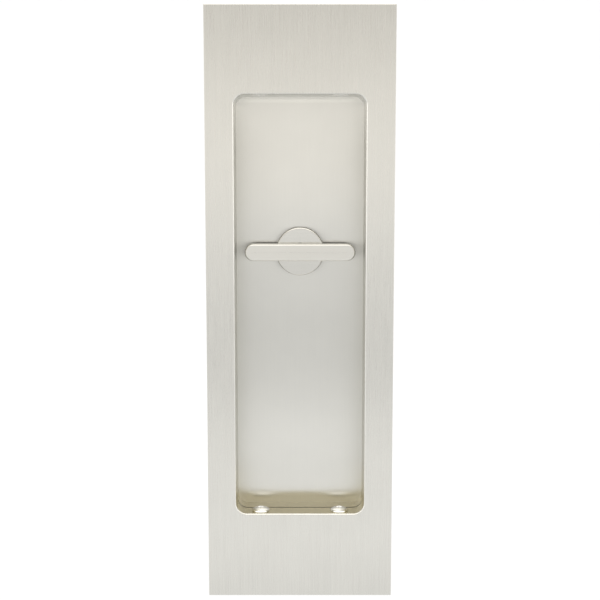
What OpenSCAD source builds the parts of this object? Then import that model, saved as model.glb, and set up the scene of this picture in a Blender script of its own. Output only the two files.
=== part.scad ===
// Pocket door lock: flush plate with a finger recess, a thumb turn and a swinging hook bolt.
// Millimetres. X runs to the door's edge, Y into the door, Z up.
// The origin is the plate's centre on the face of the door.

/* [Face plate] */
// Height of the face plate
plate_h = 222.25; // [205:0.25:260]
// Width of the face plate
plate_w = 69.85; // [66:0.05:80]
// Thickness of the plate's metal
plate_t = 2; // [1.8:0.1:2.4]
// How far the plate's front stands off the door
plate_stand = 3.5; // [3.2:0.1:4.5]

/* [Recess] */
// Height of the recess
recess_h = 157.5; // [140:0.5:170]
// Width of the recess
recess_w = 48.5; // [46:0.1:50]
// Depth of the recess from the plate's front
recess_d = 14; // [13:0.1:18]
// Corner radius of the recess
recess_r = 4; // [3:0.1:6]
// Depth of the plate's collar inside the recess
collar_d = 7.5; // [7.4:0.1:9]
// Bevel along the front edge of the recess
recess_bevel = 0.6; // [0.3:0.1:0.9]
// Fillet where the walls of the recess meet its floor
floor_fillet = 0.5; // [0.3:0.1:1.2]
// Spacing of the two screws in each end wall of the recess
screw_gap = 30; // [24:0.5:34]
// Bevel along the outer front edge of the plate
plate_bevel = 0.4; // [0.2:0.1:0.6]

/* [Thumb turn] */
// Height of the turn's axis above the plate's centre
turn_up = 20.6; // [10:0.1:28]
// Length of the turn's bar
bar_l = 41.5; // [34:0.1:43]
// Height of the turn's bar
bar_h = 6.35; // [6:0.05:8]
// Thickness of the turn's bar
bar_t = 5.5; // [4.5:0.1:6]
// Diameter of the disc behind the bar
disc_d = 18.3; // [17.6:0.1:24]
// Thickness of the disc
disc_t = 3.4; // [3:0.1:3.8]

/* [Lock case] */
// Distance from the turn's axis to the door's edge
backset = 35; // [34.5:0.1:38]
// Thickness of the lock case
case_t = 14; // [13:0.5:18]
// Width of the forend in the door's edge
forend_w = 20; // [18:0.5:24]
// Height of the forend
forend_h = 110; // [104:1:150]
// Spacing of the two posts that take the through bolts
post_gap = 38; // [37:0.5:41]

/* [Hook bolt] */
// Thickness of the hook and of the toothed hub
hook_t = 5; // [4:0.1:5.5]
// Reach of the hook from its pivot
hook_reach = 28.5; // [27.5:0.1:29]
// Module of the teeth
tooth_m = 1.5; // [1.45:0.01:1.5]

/* [Hidden] */
$fn = 64;
e = 0.5;
run = 0.05;
slack = 0.1;
snug = 0.02;
// depths along Y, from the plate's front to the lock's back
y_front = -plate_stand;
y_panel = y_front + plate_t;
y_collar = y_front + collar_d;
y_floor = y_front + recess_d;
cup_t = 1.5;
y_cup = y_floor + cup_t;
case_lift = 3;
sheet = 1.5;
y_case = y_cup + case_lift;
y_cover = y_case + case_t;
y_in = y_case + sheet;
y_out = y_cover - sheet;
y_mid = (y_case + y_cover) / 2;
y_g0 = y_mid - hook_t / 2;
y_g1 = y_mid + hook_t / 2;
// mounting frame behind the plate
edge_gap = 0.3;
frame_w = plate_w - 2 * (plate_t + edge_gap);
frame_h = plate_h - 2 * (plate_t + edge_gap);
hole_w = recess_w + 2 * (plate_t + edge_gap);
hole_h = recess_h + 2 * (plate_t + edge_gap);
block_h = 5.5;
wood_x = frame_w / 2 - 11;
wood_z = (hole_h / 2 + block_h + frame_h / 2) / 2;
wood_r = 1.9;
wood_head_r = wood_r + 1.6;
wood_l = 20;
wood_tip = 5;
// joint between the collar and the cup
joint_gap = 0.5;
joint_depth = 1.2;
// trim screws in the end walls of the recess
m3 = 1.5;
trim_head_r = 3.3;
trim_head_h = 1.5;
trim_edge = 0.3;
trim_sink = 1.6;
trim_drive = 2.3;
trim_y = y_front + 4;
trim_l = 6.8;
// turn and spindle
y_disc1 = y_floor - 0.3;
y_disc0 = y_disc1 - disc_t;
y_bar0 = y_disc0 - bar_t;
bar_bevel = 0.7;
disc_bevel = 0.6;
disc_web = y_disc1 - 0.9;
flange_r = 7.5;
barrel_r = 5.5;
nose_r = 2.5;
nose_y0 = y_bar0 + 2;
journal_r = 4;
groove_r = 3;
washer_t = 0.65;
y_groove = y_cup + slack + washer_t;
clip_t = 0.7;
y_tail = y_groove + clip_t + 0.9;
tail_s = 5;
tail_out = 6;
pin_r = 0.75;
pin_y = (nose_y0 + y_disc0) / 2;
// lock case, measured from the turn's axis
forend_t = 2.5;
case_r = backset - forend_t;
case_l = 18.5;
case_up = 26;
case_down = 38.5;
// teeth: hub and hook have the same pitch circle
teeth = 16;
pitch_r = tooth_m * teeth / 2;
tip_r = pitch_r + 0.9 * tooth_m;
root_r = pitch_r - 1.2 * tooth_m;
base_r = pitch_r * cos(20);
backlash = 0.24;
pitch_a = 360 / teeth;
hook_x = 2 * pitch_r;
hub_r = 7.5;
hub_disc_r = 8;
hub_journal_r = 6;
cam_half = 6.5;
cam_r = 8.3;
hook_hub_r = 8.5;
hook_pin_r = 3;
hook_pin_head_r = 4.5;
hook_pin_head_t = 1;
spacer_r = 5;
throat_z = -16;
throat_ease = 2;
beak_root_z = -18.5;
beak_tip_z = -20.5;
arm_half = 4.5;
beak_x = backset - 0.5 - hook_x;
// stops, spring and pillars
stop_r = 1.5;
stop_at = pitch_r - 0.5;
stop_a = 105 + asin((stop_r + 0.2) / stop_at);
leaf_t = 0.6;
leaf_gap = 0.05;
leaf_w = 2.2;
eye_r = 1.55;
eye_z = 15.5;
eye_x = -(cam_half + leaf_gap + leaf_t + eye_r);
pillar_r = 3.25;
pillar_foot_r = 2;
pillar_tap = 8;
cover_screw_l = 7;
cover_head_r = 2.8;
cover_head_h = 1.7;
rivet_r = 2.2;
rivet_t = 0.6;
pillars = [[-13.5, 20.5], [27, 20.5], [-13.5, -33.5], [27, -33.5]];
post_r = 3.5;
post_flange_r = 5;
post_tap_r = 1.65;
nut_t = 2.5;
nut_flats = 11;
// forend, its middle in height and its screws
forend_mid = -6;
forend_hole = forend_h / 2 - 8;
forend_hole_r = 2.25;
forend_hole_sink = 1.7;
forend_screw_l = 4.6;
forend_screw_sink = 1.3;
forend_drive = 1.8;
drive_depth = 0.9;
tabs = [19.5, -33.2];
tab_h = 8;
tab_w = 8;

// a flat outline in X and Z, from depth y0 to y1
module slab(y0, y1) {
    translate([0, y1, 0])
        rotate([90, 0, 0])
            linear_extrude(height = y1 - y0)
                children();
}

// a turned shape about the Y axis, from [radius, depth] points
module turned(points) {
    rotate([-90, 0, 0])
        rotate_extrude()
            polygon(points);
}

module at_turn() {
    translate([0, 0, turn_up])
        children();
}

module rounded(w, h, r) {
    union() {
        square([w - 2 * r, h], center = true);
        square([w, h - 2 * r], center = true);
        for (x = [-1, 1], z = [-1, 1])
            translate([x * (w / 2 - r), z * (h / 2 - r)])
                circle(r = r);
    }
}

// a block in X and Z that narrows by a bevel towards its front
module bevelled_block(w, h, y0, y1, bevel) {
    hull() {
        translate([-w / 2 + bevel, y0, -h / 2 + bevel])
            cube([w - 2 * bevel, y1 - y0, h - 2 * bevel]);
        translate([-w / 2, y0 + bevel, -h / 2])
            cube([w, y1 - y0 - bevel, h]);
    }
}

// the flared mouth of the recess
module recess_mouth() {
    grow = recess_bevel + 0.2;
    hull() {
        slab(y_front - 0.2, y_front - 0.19)
            rounded(recess_w + 2 * grow, recess_h + 2 * grow, recess_r + grow);
        slab(y_front + recess_bevel - 0.01, y_front + recess_bevel)
            rounded(recess_w, recess_h, recess_r);
    }
}

// side is -1 for the lower end wall and 1 for the upper one
module at_trim_screws(side) {
    for (x = [-1, 1])
        translate([x * screw_gap / 2, trim_y, side * recess_h / 2])
            rotate([side > 0 ? 180 : 0, 0, 0])
                children();
}

module face_plate() {
    color("silver")
    difference() {
        union() {
            difference() {
                bevelled_block(plate_w, plate_h, y_front, 0, plate_bevel);
                translate([-plate_w / 2 + plate_t, y_panel, -plate_h / 2 + plate_t])
                    cube([plate_w - 2 * plate_t, plate_stand, plate_h - 2 * plate_t]);
            }
            slab(y_front + plate_t / 2, y_collar)
                rounded(recess_w + 2 * plate_t, recess_h + 2 * plate_t, recess_r + plate_t);
        }
        slab(y_front - e, y_collar + e)
            rounded(recess_w, recess_h, recess_r);
        recess_mouth();
        for (side = [-1, 1])
            at_trim_screws(side) {
                translate([0, 0, -plate_t - e])
                    cylinder(r = m3 + slack, h = plate_t + 2 * e);
                translate([0, 0, -trim_sink])
                    cylinder(r1 = m3 + run, r2 = trim_head_r + run + e * (trim_head_r - m3) / trim_sink,
                        h = trim_sink + e);
            }
    }
}

// the fillet's section beside a wall at the given distance, as [distance, depth]
module fillet_section(wall) {
    difference() {
        translate([wall - floor_fillet, y_floor - floor_fillet])
            square(floor_fillet + e);
        translate([wall - floor_fillet, y_floor - floor_fillet])
            circle(r = floor_fillet);
    }
}

module fillet_run(wall, length) {
    linear_extrude(height = length, center = true)
        fillet_section(wall);
}

// the fillet all round the floor of the recess: four straight runs and four corners
module floor_fillets() {
    side = recess_h - 2 * recess_r;
    end = recess_w - 2 * recess_r;
    for (a = [0, 180]) {
        rotate([0, a, 0])
            fillet_run(recess_w / 2, side);
        rotate([0, a + 90, 0])
            fillet_run(recess_h / 2, end);
    }
    for (c = [[1, -1, 0], [-1, -1, 90], [-1, 1, 180], [1, 1, 270]])
        translate([c[0] * end / 2, 0, c[1] * side / 2])
            rotate([-90, c[2], 0])
                rotate_extrude(angle = 90)
                    fillet_section(recess_r);
}

module recess_cup() {
    color("silver")
    difference() {
        union() {
            difference() {
                slab(y_collar, y_cup)
                    rounded(recess_w + 2 * plate_t, recess_h + 2 * plate_t, recess_r + plate_t);
                slab(y_collar - e, y_floor)
                    rounded(recess_w, recess_h, recess_r);
            }
            floor_fillets();
        }
        slab(y_collar - e, y_collar + joint_gap)
            rounded(recess_w + 2 * joint_depth, recess_h + 2 * joint_depth, recess_r + joint_depth);
        at_turn()
            bore(barrel_r, y_floor - e, y_cup + e);
    }
}

module mount_frame() {
    color("gainsboro")
    difference() {
        union() {
            translate([-frame_w / 2, y_panel, -frame_h / 2])
                cube([frame_w, -y_panel, frame_h]);
            for (side = [-1, 1])
                translate([-screw_gap / 2 - 6, y_panel, side * (hole_h / 2 + block_h / 2) - block_h / 2])
                    cube([screw_gap + 12, y_collar - y_panel, block_h]);
        }
        slab(y_panel - e, y_collar + e)
            rounded(hole_w, hole_h, recess_r + plate_t + edge_gap);
        for (side = [-1, 1])
            at_trim_screws(side)
                translate([0, 0, -plate_t - block_h - 2 * e])
                    cylinder(r = m3 + run, h = block_h + 3 * e);
        for (x = [-1, 1], z = [-1, 1])
            translate([x * wood_x, 0, z * wood_z])
                turned([[0, y_panel - e], [wood_head_r + slack + e, y_panel - e],
                    [wood_r + 2 * slack, 0], [wood_r + 2 * slack, e], [0, e]]);
    }
}

module frame_screws() {
    color("lightgray")
    for (x = [-1, 1], z = [-1, 1])
        translate([x * wood_x, 0, z * wood_z])
            turned([[0, y_panel + run], [wood_head_r - slack, y_panel + run],
                [wood_r, wood_head_r - wood_r + y_panel], [wood_r, wood_l - wood_tip], [0, wood_l]]);
}

// rise is the height of the domed head above the wall, 0 for a flush one
module trim_screw(rise) {
    dome = [for (a = [0 : 15 : 75]) [trim_head_r * cos(a), trim_edge + (rise - trim_edge) * sin(a)]];
    difference() {
        rotate_extrude()
            polygon(concat([[0, rise], [0, -trim_l], [m3, -trim_l], [m3, -trim_sink], [trim_head_r, 0]],
                rise > 0 ? dome : []));
        translate([0, 0, rise - drive_depth])
            cylinder(d = trim_drive, h = drive_depth + e, $fn = 6);
    }
}

module lower_trim_screws() {
    color("white")
    at_trim_screws(-1)
        trim_screw(trim_head_h);
}

module upper_trim_screws() {
    color("white")
    at_trim_screws(1)
        trim_screw(0);
}

// half of the bar's section, from its middle plane out to one side, as [out, depth] points
module bar_section(half) {
    polygon([[0, 0], [half - bar_bevel, 0], [half, bar_bevel], [half, bar_t - bar_bevel],
        [half - bar_bevel, bar_t], [0, bar_t]]);
}

module turn_bar() {
    half = bar_h / 2;
    straight = bar_l / 2 - half;
    color("silver")
    at_turn()
        difference() {
            translate([0, y_bar0, 0])
                union() {
                    for (side = [0, 180])
                        rotate([0, side, 0]) {
                            translate([straight, 0, 0])
                                rotate([0, -90, 0])
                                    linear_extrude(height = 2 * straight)
                                        bar_section(half);
                            translate([straight, 0, 0])
                                rotate([-90, -90, 0])
                                    rotate_extrude(angle = 180)
                                        bar_section(half);
                        }
                }
            turned([[0, nose_y0 - slack], [nose_r + snug, nose_y0 - slack], [nose_r + snug, y_disc0 + e],
                [0, y_disc0 + e]]);
            translate([0, pin_y, -bar_h])
                cylinder(r = pin_r + snug, h = 2 * bar_h);
        }
}

module turn_disc() {
    r = disc_d / 2;
    color("silver")
    at_turn()
        turned([[nose_r + snug, y_disc0], [r - disc_bevel, y_disc0], [r, y_disc0 + disc_bevel],
            [r, y_disc1], [flange_r + 0.5, y_disc1], [flange_r + 0.5, disc_web],
            [nose_r + snug, disc_web]]);
}

module bar_pin() {
    color("gray")
    at_turn()
        translate([0, pin_y, -bar_h / 2 + 0.3])
            cylinder(r = pin_r, h = bar_h - 0.6);
}

module spindle() {
    color("gray")
    at_turn()
        difference() {
            union() {
                turned([[0, nose_y0], [nose_r, nose_y0], [nose_r, disc_web], [journal_r, disc_web],
                    [journal_r, y_groove], [groove_r, y_groove], [groove_r, y_groove + clip_t + slack],
                    [journal_r, y_groove + clip_t + slack], [journal_r, y_tail], [0, y_tail]]);
                translate([-tail_s / 2, y_tail - e, -tail_s / 2])
                    cube([tail_s, y_cover + tail_out - y_tail + e, tail_s]);
            }
            translate([0, pin_y, -bar_h])
                cylinder(r = pin_r + snug, h = 2 * bar_h);
        }
}

module turn_bush() {
    color("tan")
    at_turn()
        turned([[journal_r + run, y_floor - 0.7], [flange_r, y_floor - 0.7], [flange_r, y_floor],
            [barrel_r, y_floor], [barrel_r, y_cup], [journal_r + run, y_cup]]);
}

module thrust_washer() {
    color("tan")
    at_turn()
        turned([[journal_r + run, y_cup + run], [flange_r - 1, y_cup + run],
            [flange_r - 1, y_cup + run + washer_t], [journal_r + run, y_cup + run + washer_t]]);
}

module spindle_clip() {
    color("dimgray")
    at_turn()
        slab(y_groove + run, y_groove + run + clip_t)
            difference() {
                circle(r = flange_r - 2);
                circle(r = groove_r + run);
                translate([-groove_r * 0.8, -flange_r])
                    square([groove_r * 1.6, flange_r]);
                for (a = [30, 150])
                    rotate(a)
                        translate([groove_r, -0.6])
                            square([1.2, 1.2]);
            }
}

module at_posts() {
    for (side = [-1, 1])
        translate([0, 0, turn_up + side * post_gap / 2])
            children();
}

module trim_posts() {
    color("lightgray")
    at_posts()
        turned([[0, y_cup], [post_flange_r, y_cup], [post_flange_r, y_case], [post_r, y_case],
            [post_r, y_cover + nut_t + 0.5], [post_tap_r, y_cover + nut_t + 0.5],
            [post_tap_r, y_cover - case_t + 3], [0, y_cover - case_t + 3]]);
}

module post_nuts() {
    color("lightgray")
    at_posts()
        slab(y_cover, y_cover + nut_t)
            difference() {
                circle(d = nut_flats / cos(30), $fn = 6);
                circle(r = post_r + run);
            }
}

module at_pillars() {
    for (p = pillars)
        translate([p[0], 0, turn_up + p[1]])
            children();
}

module at_stops() {
    for (a = [stop_a, -stop_a])
        translate([stop_at * cos(a), 0, turn_up + stop_at * sin(a)])
            children();
}

module at_spring_pins() {
    for (side = [-1, 1])
        translate([eye_x, 0, turn_up + side * eye_z])
            children();
}

module at_hook() {
    translate([hook_x, 0, turn_up])
        children();
}

module bore(r, y0, y1) {
    turned([[0, y0], [r, y0], [r, y1], [0, y1]]);
}

module lock_case() {
    color("lightsteelblue")
    difference() {
        union() {
            at_turn()
                difference() {
                    translate([-case_l, y_case, -case_down])
                        cube([case_l + case_r, case_t - sheet, case_up + case_down]);
                    translate([-case_l + sheet, y_in, -case_down + sheet])
                        cube([case_l + case_r, case_t, case_up + case_down - 2 * sheet]);
                }
            at_turn()
                for (z = tabs)
                    translate([case_r - sheet, y_mid - tab_w / 2, z - tab_h / 2])
                        cube([sheet, tab_w, z > 0 ? case_up - sheet / 2 - z + tab_h / 2 : tab_h]);
            at_turn()
                translate([case_r - sheet, y_mid - tab_w / 2, -case_down + sheet / 2])
                    cube([sheet, tab_w, case_down - sheet / 2 + tabs[1]]);
        }
        at_turn()
            bore(hub_journal_r + run, y_case - e, y_in + e);
        at_hook()
            bore(hook_pin_r + run, y_case - e, y_in + e);
        at_posts()
            bore(post_r + run, y_case - e, y_in + e);
        at_stops()
            bore(stop_r + run, y_case - e, y_in + e);
        at_spring_pins()
            bore(stop_r + run, y_case - e, y_in + e);
        at_pillars()
            bore(pillar_foot_r + run, y_case - e, y_in + e);
        at_turn()
            for (z = tabs)
                translate([case_r - 2 * sheet, y_mid, z])
                    rotate([0, 90, 0])
                        cylinder(r = m3 + run, h = 3 * sheet);
    }
}

module case_cover() {
    color("lightsteelblue")
    difference() {
        at_turn()
            translate([-case_l, y_out, -case_down])
                cube([case_l + case_r, sheet, case_up + case_down]);
        at_turn()
            bore(hub_journal_r + run, y_out - e, y_cover + e);
        at_hook()
            bore(hook_pin_r + run, y_out - e, y_cover + e);
        at_posts()
            bore(post_r + run, y_out - e, y_cover + e);
        at_pillars()
            bore(m3 + slack, y_out - e, y_cover + e);
    }
}

module case_pillars() {
    color("lightgray")
    at_pillars()
        turned([[0, y_case], [pillar_foot_r, y_case], [pillar_foot_r, y_in], [pillar_r, y_in],
            [pillar_r, y_out], [m3 + run, y_out], [m3 + run, y_out - pillar_tap],
            [0, y_out - pillar_tap]]);
}

module cover_screws() {
    color("lightgray")
    at_pillars()
        turned([[0, y_out - cover_screw_l], [m3, y_out - cover_screw_l], [m3, y_cover],
            [cover_head_r, y_cover], [cover_head_r, y_cover + cover_head_h / 2],
            [cover_head_r * 0.8, y_cover + cover_head_h * 0.9], [0, y_cover + cover_head_h]]);
}

module forend() {
    slot_y = hook_t + 0.8;
    slot_z0 = -hook_reach - 1.5;
    slot_z1 = arm_half + 1.5;
    color("silver")
    at_turn()
        difference() {
            translate([case_r, y_mid - forend_w / 2, forend_mid - forend_h / 2])
                cube([forend_t, forend_w, forend_h]);
            translate([case_r - e, y_mid - slot_y / 2, slot_z0])
                cube([forend_t + 2 * e, slot_y, slot_z1 - slot_z0]);
            for (side = [-1, 1])
                translate([case_r, y_mid, forend_mid + side * forend_hole])
                    rotate([0, 90, 0]) {
                        translate([0, 0, -e])
                            cylinder(r = forend_hole_r, h = forend_t + 2 * e);
                        translate([0, 0, forend_t - forend_hole_sink])
                            cylinder(r1 = forend_hole_r, r2 = forend_hole_r + forend_hole_sink + e,
                                h = forend_hole_sink + e);
                    }
            for (z = tabs)
                translate([case_r, y_mid, z])
                    rotate([0, 90, 0]) {
                        translate([0, 0, -e])
                            cylinder(r = m3 + slack, h = forend_t + 2 * e);
                        translate([0, 0, forend_t - forend_screw_sink])
                            cylinder(r1 = m3 + run, r2 = m3 + run + forend_screw_sink + e,
                                h = forend_screw_sink + e);
                    }
        }
}

module forend_screws() {
    color("lightgray")
    at_turn()
        for (z = tabs)
            translate([backset, y_mid, z])
                rotate([0, 90, 0])
                    difference() {
                        rotate_extrude()
                            polygon([[0, -forend_screw_l], [m3, -forend_screw_l],
                                [m3, -forend_screw_sink], [m3 + forend_screw_sink - run, -run],
                                [0, -run]]);
                        translate([0, 0, -drive_depth])
                            cylinder(d = forend_drive, h = drive_depth + e, $fn = 6);
                    }
}

// half the angle of a tooth at radius r, in degrees
function inv(a) = tan(a) * 180 / PI - a;
function half_a(r) = 90 / teeth - backlash / 4 / pitch_r * 180 / PI + inv(20)
    - inv(acos(min(1, base_r / r)));
function polar(r, a) = [r * cos(a), r * sin(a)];
flank = [for (i = [0 : 4]) base_r + (tip_r - base_r) * i / 4];
function tooth(a) = concat(
    [polar(root_r, a - half_a(base_r))],
    [for (r = flank) polar(r, a - half_a(r))],
    [for (i = [4 : -1 : 0]) polar(flank[i], a + half_a(flank[i]))],
    [polar(root_r, a + half_a(base_r))]);

// a toothed sector: count teeth, the first at angle a0, on a plain blank that ends at a1 and a2
module toothed_sector(a0, count, a1, a2) {
    polygon(concat(
        [[0, 0], polar(root_r, a1)],
        [for (i = [0 : count - 1]) for (p = tooth(a0 + i * pitch_a)) p],
        [polar(root_r, a2)]));
}

module hub() {
    color("goldenrod")
    at_turn()
        difference() {
            union() {
                bore(hub_journal_r, y_case + slack, y_in + e);
                bore(hub_r, y_in + slack, y_g0 + e);
                slab(y_g0, y_g1) {
                    union() {
                        circle(r = hub_disc_r);
                        toothed_sector(0, 5, -15, 105);
                    }
                }
                slab(y_g1 - e, y_out - slack)
                    intersection() {
                        square(2 * cam_half, center = true);
                        circle(r = cam_r);
                    }
                bore(hub_journal_r, y_out - e, y_cover - slack);
            }
            translate([-tail_s / 2 - slack, y_case - e, -tail_s / 2 - slack])
                cube([tail_s + 2 * slack, case_t + 2 * e, tail_s + 2 * slack]);
        }
}

module hook_bolt() {
    color("lightgray")
    at_hook()
        slab(y_g0 + slack, y_g1 - slack)
            difference() {
                union() {
                    circle(r = hook_hub_r);
                    toothed_sector(180 - 4.5 * pitch_a, 6, 70, 200);
                    intersection() {
                        circle(r = hook_reach);
                        difference() {
                            translate([-arm_half, -hook_reach - 1])
                                square([arm_half + beak_x, hook_reach + 1]);
                            polygon([[arm_half, e], [arm_half, throat_z],
                                [arm_half + throat_ease, beak_root_z], [beak_x + e, beak_tip_z],
                                [beak_x + e, e]]);
                        }
                    }
                }
                circle(r = hook_pin_r + run);
            }
}

module hook_pin() {
    edge_y = hook_pin_head_t / 2;
    edge_r = hook_pin_head_r - edge_y;
    color("lightgray")
    at_hook()
        turned([[0, y_case - hook_pin_head_t], [edge_r, y_case - hook_pin_head_t],
            [hook_pin_head_r, y_case - edge_y], [hook_pin_head_r, y_case], [hook_pin_r, y_case],
            [hook_pin_r, y_cover], [hook_pin_head_r, y_cover], [hook_pin_head_r, y_cover + edge_y],
            [edge_r, y_cover + hook_pin_head_t], [0, y_cover + hook_pin_head_t]]);
}

module hook_spacers() {
    color("tan")
    at_hook() {
        turned([[hook_pin_r + run, y_in], [spacer_r, y_in], [spacer_r, y_g0], [hook_pin_r + run, y_g0]]);
        turned([[hook_pin_r + run, y_g1], [spacer_r, y_g1], [spacer_r, y_out], [hook_pin_r + run, y_out]]);
    }
}

module stop_pins() {
    color("lightgray")
    at_stops()
        turned([[0, y_case - rivet_t], [rivet_r, y_case - rivet_t], [rivet_r, y_case],
            [stop_r, y_case], [stop_r, y_g1 - rivet_t], [0, y_g1 - rivet_t]]);
}

module spring_pins() {
    color("lightgray")
    at_spring_pins()
        turned([[0, y_case - rivet_t], [rivet_r, y_case - rivet_t], [rivet_r, y_case],
            [stop_r, y_case], [stop_r, y_out - slack], [0, y_out - slack]]);
}

module detent_spring() {
    leaf_y = (y_g1 + y_out) / 2;
    color("dimgray")
    at_turn()
        slab(leaf_y - leaf_w / 2, leaf_y + leaf_w / 2)
            union() {
                translate([-cam_half - leaf_gap - leaf_t, -eye_z])
                    square([leaf_t, 2 * eye_z]);
                for (side = [-1, 1])
                    translate([eye_x, side * eye_z])
                        difference() {
                            circle(r = eye_r + leaf_t);
                            circle(r = eye_r);
                        }
            }
}

face_plate();
recess_cup();
mount_frame();
frame_screws();
lower_trim_screws();
upper_trim_screws();
turn_bar();
turn_disc();
bar_pin();
spindle();
turn_bush();
thrust_washer();
spindle_clip();
trim_posts();
post_nuts();
lock_case();
case_cover();
case_pillars();
cover_screws();
forend();
forend_screws();
hub();
hook_bolt();
hook_pin();
hook_spacers();
stop_pins();
spring_pins();
detent_spring();
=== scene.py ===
"""A pocket door lock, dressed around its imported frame: satin trim, plated hardware and a white studio."""

import logging
import math
from collections.abc import Callable
from dataclasses import dataclass
from enum import Enum

import bpy
from mathutils import Matrix, Vector

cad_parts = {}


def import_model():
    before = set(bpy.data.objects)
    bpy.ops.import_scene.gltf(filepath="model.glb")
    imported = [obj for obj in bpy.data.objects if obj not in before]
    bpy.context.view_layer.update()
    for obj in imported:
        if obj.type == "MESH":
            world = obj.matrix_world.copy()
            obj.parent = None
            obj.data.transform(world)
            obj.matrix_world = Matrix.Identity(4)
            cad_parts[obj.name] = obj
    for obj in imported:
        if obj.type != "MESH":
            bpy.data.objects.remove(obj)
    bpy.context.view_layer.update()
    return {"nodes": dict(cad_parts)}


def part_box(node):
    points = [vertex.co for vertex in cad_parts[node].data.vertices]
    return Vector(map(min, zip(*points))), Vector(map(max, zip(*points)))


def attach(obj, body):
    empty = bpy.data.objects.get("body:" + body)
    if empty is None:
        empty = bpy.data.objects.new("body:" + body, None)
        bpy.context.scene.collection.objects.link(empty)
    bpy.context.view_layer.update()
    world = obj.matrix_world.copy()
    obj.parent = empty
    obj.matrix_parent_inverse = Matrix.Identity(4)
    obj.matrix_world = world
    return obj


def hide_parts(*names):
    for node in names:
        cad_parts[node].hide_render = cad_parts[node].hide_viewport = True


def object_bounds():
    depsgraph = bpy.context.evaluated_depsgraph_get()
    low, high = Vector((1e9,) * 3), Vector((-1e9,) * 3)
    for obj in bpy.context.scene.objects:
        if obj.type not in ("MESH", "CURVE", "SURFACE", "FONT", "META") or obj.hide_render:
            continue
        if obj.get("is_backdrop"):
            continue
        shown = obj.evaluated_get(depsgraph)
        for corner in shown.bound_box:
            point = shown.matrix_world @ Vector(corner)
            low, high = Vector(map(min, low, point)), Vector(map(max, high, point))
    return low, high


LOG = logging.getLogger("pocket_door_lock")
MM = 0.001
NEAR = 0.01 * MM
RELIEF = 0.02 * MM
FACING = 0.9
POINT_SHARE = 0.8
NOISE_LOW = 0.3
NOISE_HIGH = 0.7
SHARP = math.radians(50)
WHITE = (1.0, 1.0, 1.0)
Colour = tuple[float, float, float]
Corners = tuple[Vector, Vector]
FaceTest = Callable[[Vector, Vector], bool]
EdgeTest = Callable[[Vector, Vector], bool]


class Body(Enum):
    """The bodies that the modelled pieces move with, by their names in the frame."""

    LOCKSET = "lockset"
    TURN = "turn"


class Grain(Enum):
    """The axis along which a surface was brushed."""

    ACROSS = 0
    DEEP = 1
    UPRIGHT = 2


def near(a: float, b: float) -> bool:
    """Whether two lengths agree to a hundredth of a millimetre."""
    return abs(a - b) < NEAR


def make_active(piece: bpy.types.Object) -> None:
    """Deselects everything, then selects one piece and makes it active.

    Args:
        piece: The piece that the next operators act on.
    """
    if bpy.context.object is not None and bpy.context.object.mode != "OBJECT":
        bpy.ops.object.mode_set(mode="OBJECT")
    bpy.ops.object.select_all(action="DESELECT")
    piece.select_set(True)
    bpy.context.view_layer.objects.active = piece


def settle(piece: bpy.types.Object, name: str) -> bpy.types.Object:
    """Names a new primitive and puts its place, turn and size into its mesh.

    Args:
        piece: The primitive that was just added.
        name: The name of the piece.

    Returns:
        The same piece, with its object at the origin.
    """
    piece.name = name
    piece.data.name = name
    make_active(piece)
    bpy.ops.object.transform_apply(location=True, rotation=True, scale=True)
    return piece


def add_block(name: str, low: Vector, high: Vector) -> bpy.types.Object:
    """Adds a block between two corners.

    Args:
        name: The name of the piece.
        low: The lowest corner.
        high: The highest corner.

    Returns:
        The new piece.
    """
    bpy.ops.mesh.primitive_cube_add(size=1.0, location=(low + high) / 2, scale=high - low)
    return settle(bpy.context.object, name)


def add_round(name: str, radii: tuple[float, float], start: Vector, end: Vector,
              sides: int = 48) -> bpy.types.Object:
    """Adds a cylinder or a cone along a line.

    Args:
        name: The name of the piece.
        radii: Its radius at the start and at the end.
        start: The middle of its first face.
        end: The middle of its last face.
        sides: How many sides it has.

    Returns:
        The new piece.
    """
    line = end - start
    turn = line.to_track_quat("Z", "Y").to_euler()
    bpy.ops.mesh.primitive_cone_add(vertices=sides, radius1=radii[0], radius2=radii[1],
                                    depth=line.length, location=(start + end) / 2, rotation=turn)
    return settle(bpy.context.object, name)


def stack_rings(name: str, rings: list[tuple[float, float]], sides: int = 48) -> bpy.types.Object:
    """Models a turned solid along Z: a first cone whose end face is extruded from ring to ring.

    Args:
        name: The name of the piece.
        rings: The radius and the height of each ring, from the bottom up.
        sides: How many sides it has.

    Returns:
        The new piece.
    """
    (first, low), (second, high) = rings[:2]
    piece = add_round(name, (first, second), Vector((0.0, 0.0, low)), Vector((0.0, 0.0, high)), sides)
    pick_faces(piece, lambda middle, normal: normal.z > FACING and near(middle.z, high))
    radius = second
    for wide, height in rings[2:]:
        bpy.ops.mesh.extrude_region_move(TRANSFORM_OT_translate={"value": (0.0, 0.0, height - high)})
        share = wide / radius
        bpy.ops.transform.resize(value=(share, share, 1.0), center_override=(0.0, 0.0, height))
        radius, high = wide, height
    bpy.ops.object.mode_set(mode="OBJECT")
    return piece


def pick_faces(piece: bpy.types.Object, test: FaceTest) -> None:
    """Opens a piece in edit mode with only the faces that pass a test selected.

    Args:
        piece: The piece.
        test: Takes a face's middle and its normal.
    """
    make_active(piece)
    bpy.context.tool_settings.mesh_select_mode = (False, False, True)
    mesh = piece.data
    chosen = [test(face.center, face.normal) for face in mesh.polygons]
    mesh.vertices.foreach_set("select", [False] * len(mesh.vertices))
    mesh.edges.foreach_set("select", [False] * len(mesh.edges))
    mesh.polygons.foreach_set("select", chosen)
    bpy.ops.object.mode_set(mode="EDIT")


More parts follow.
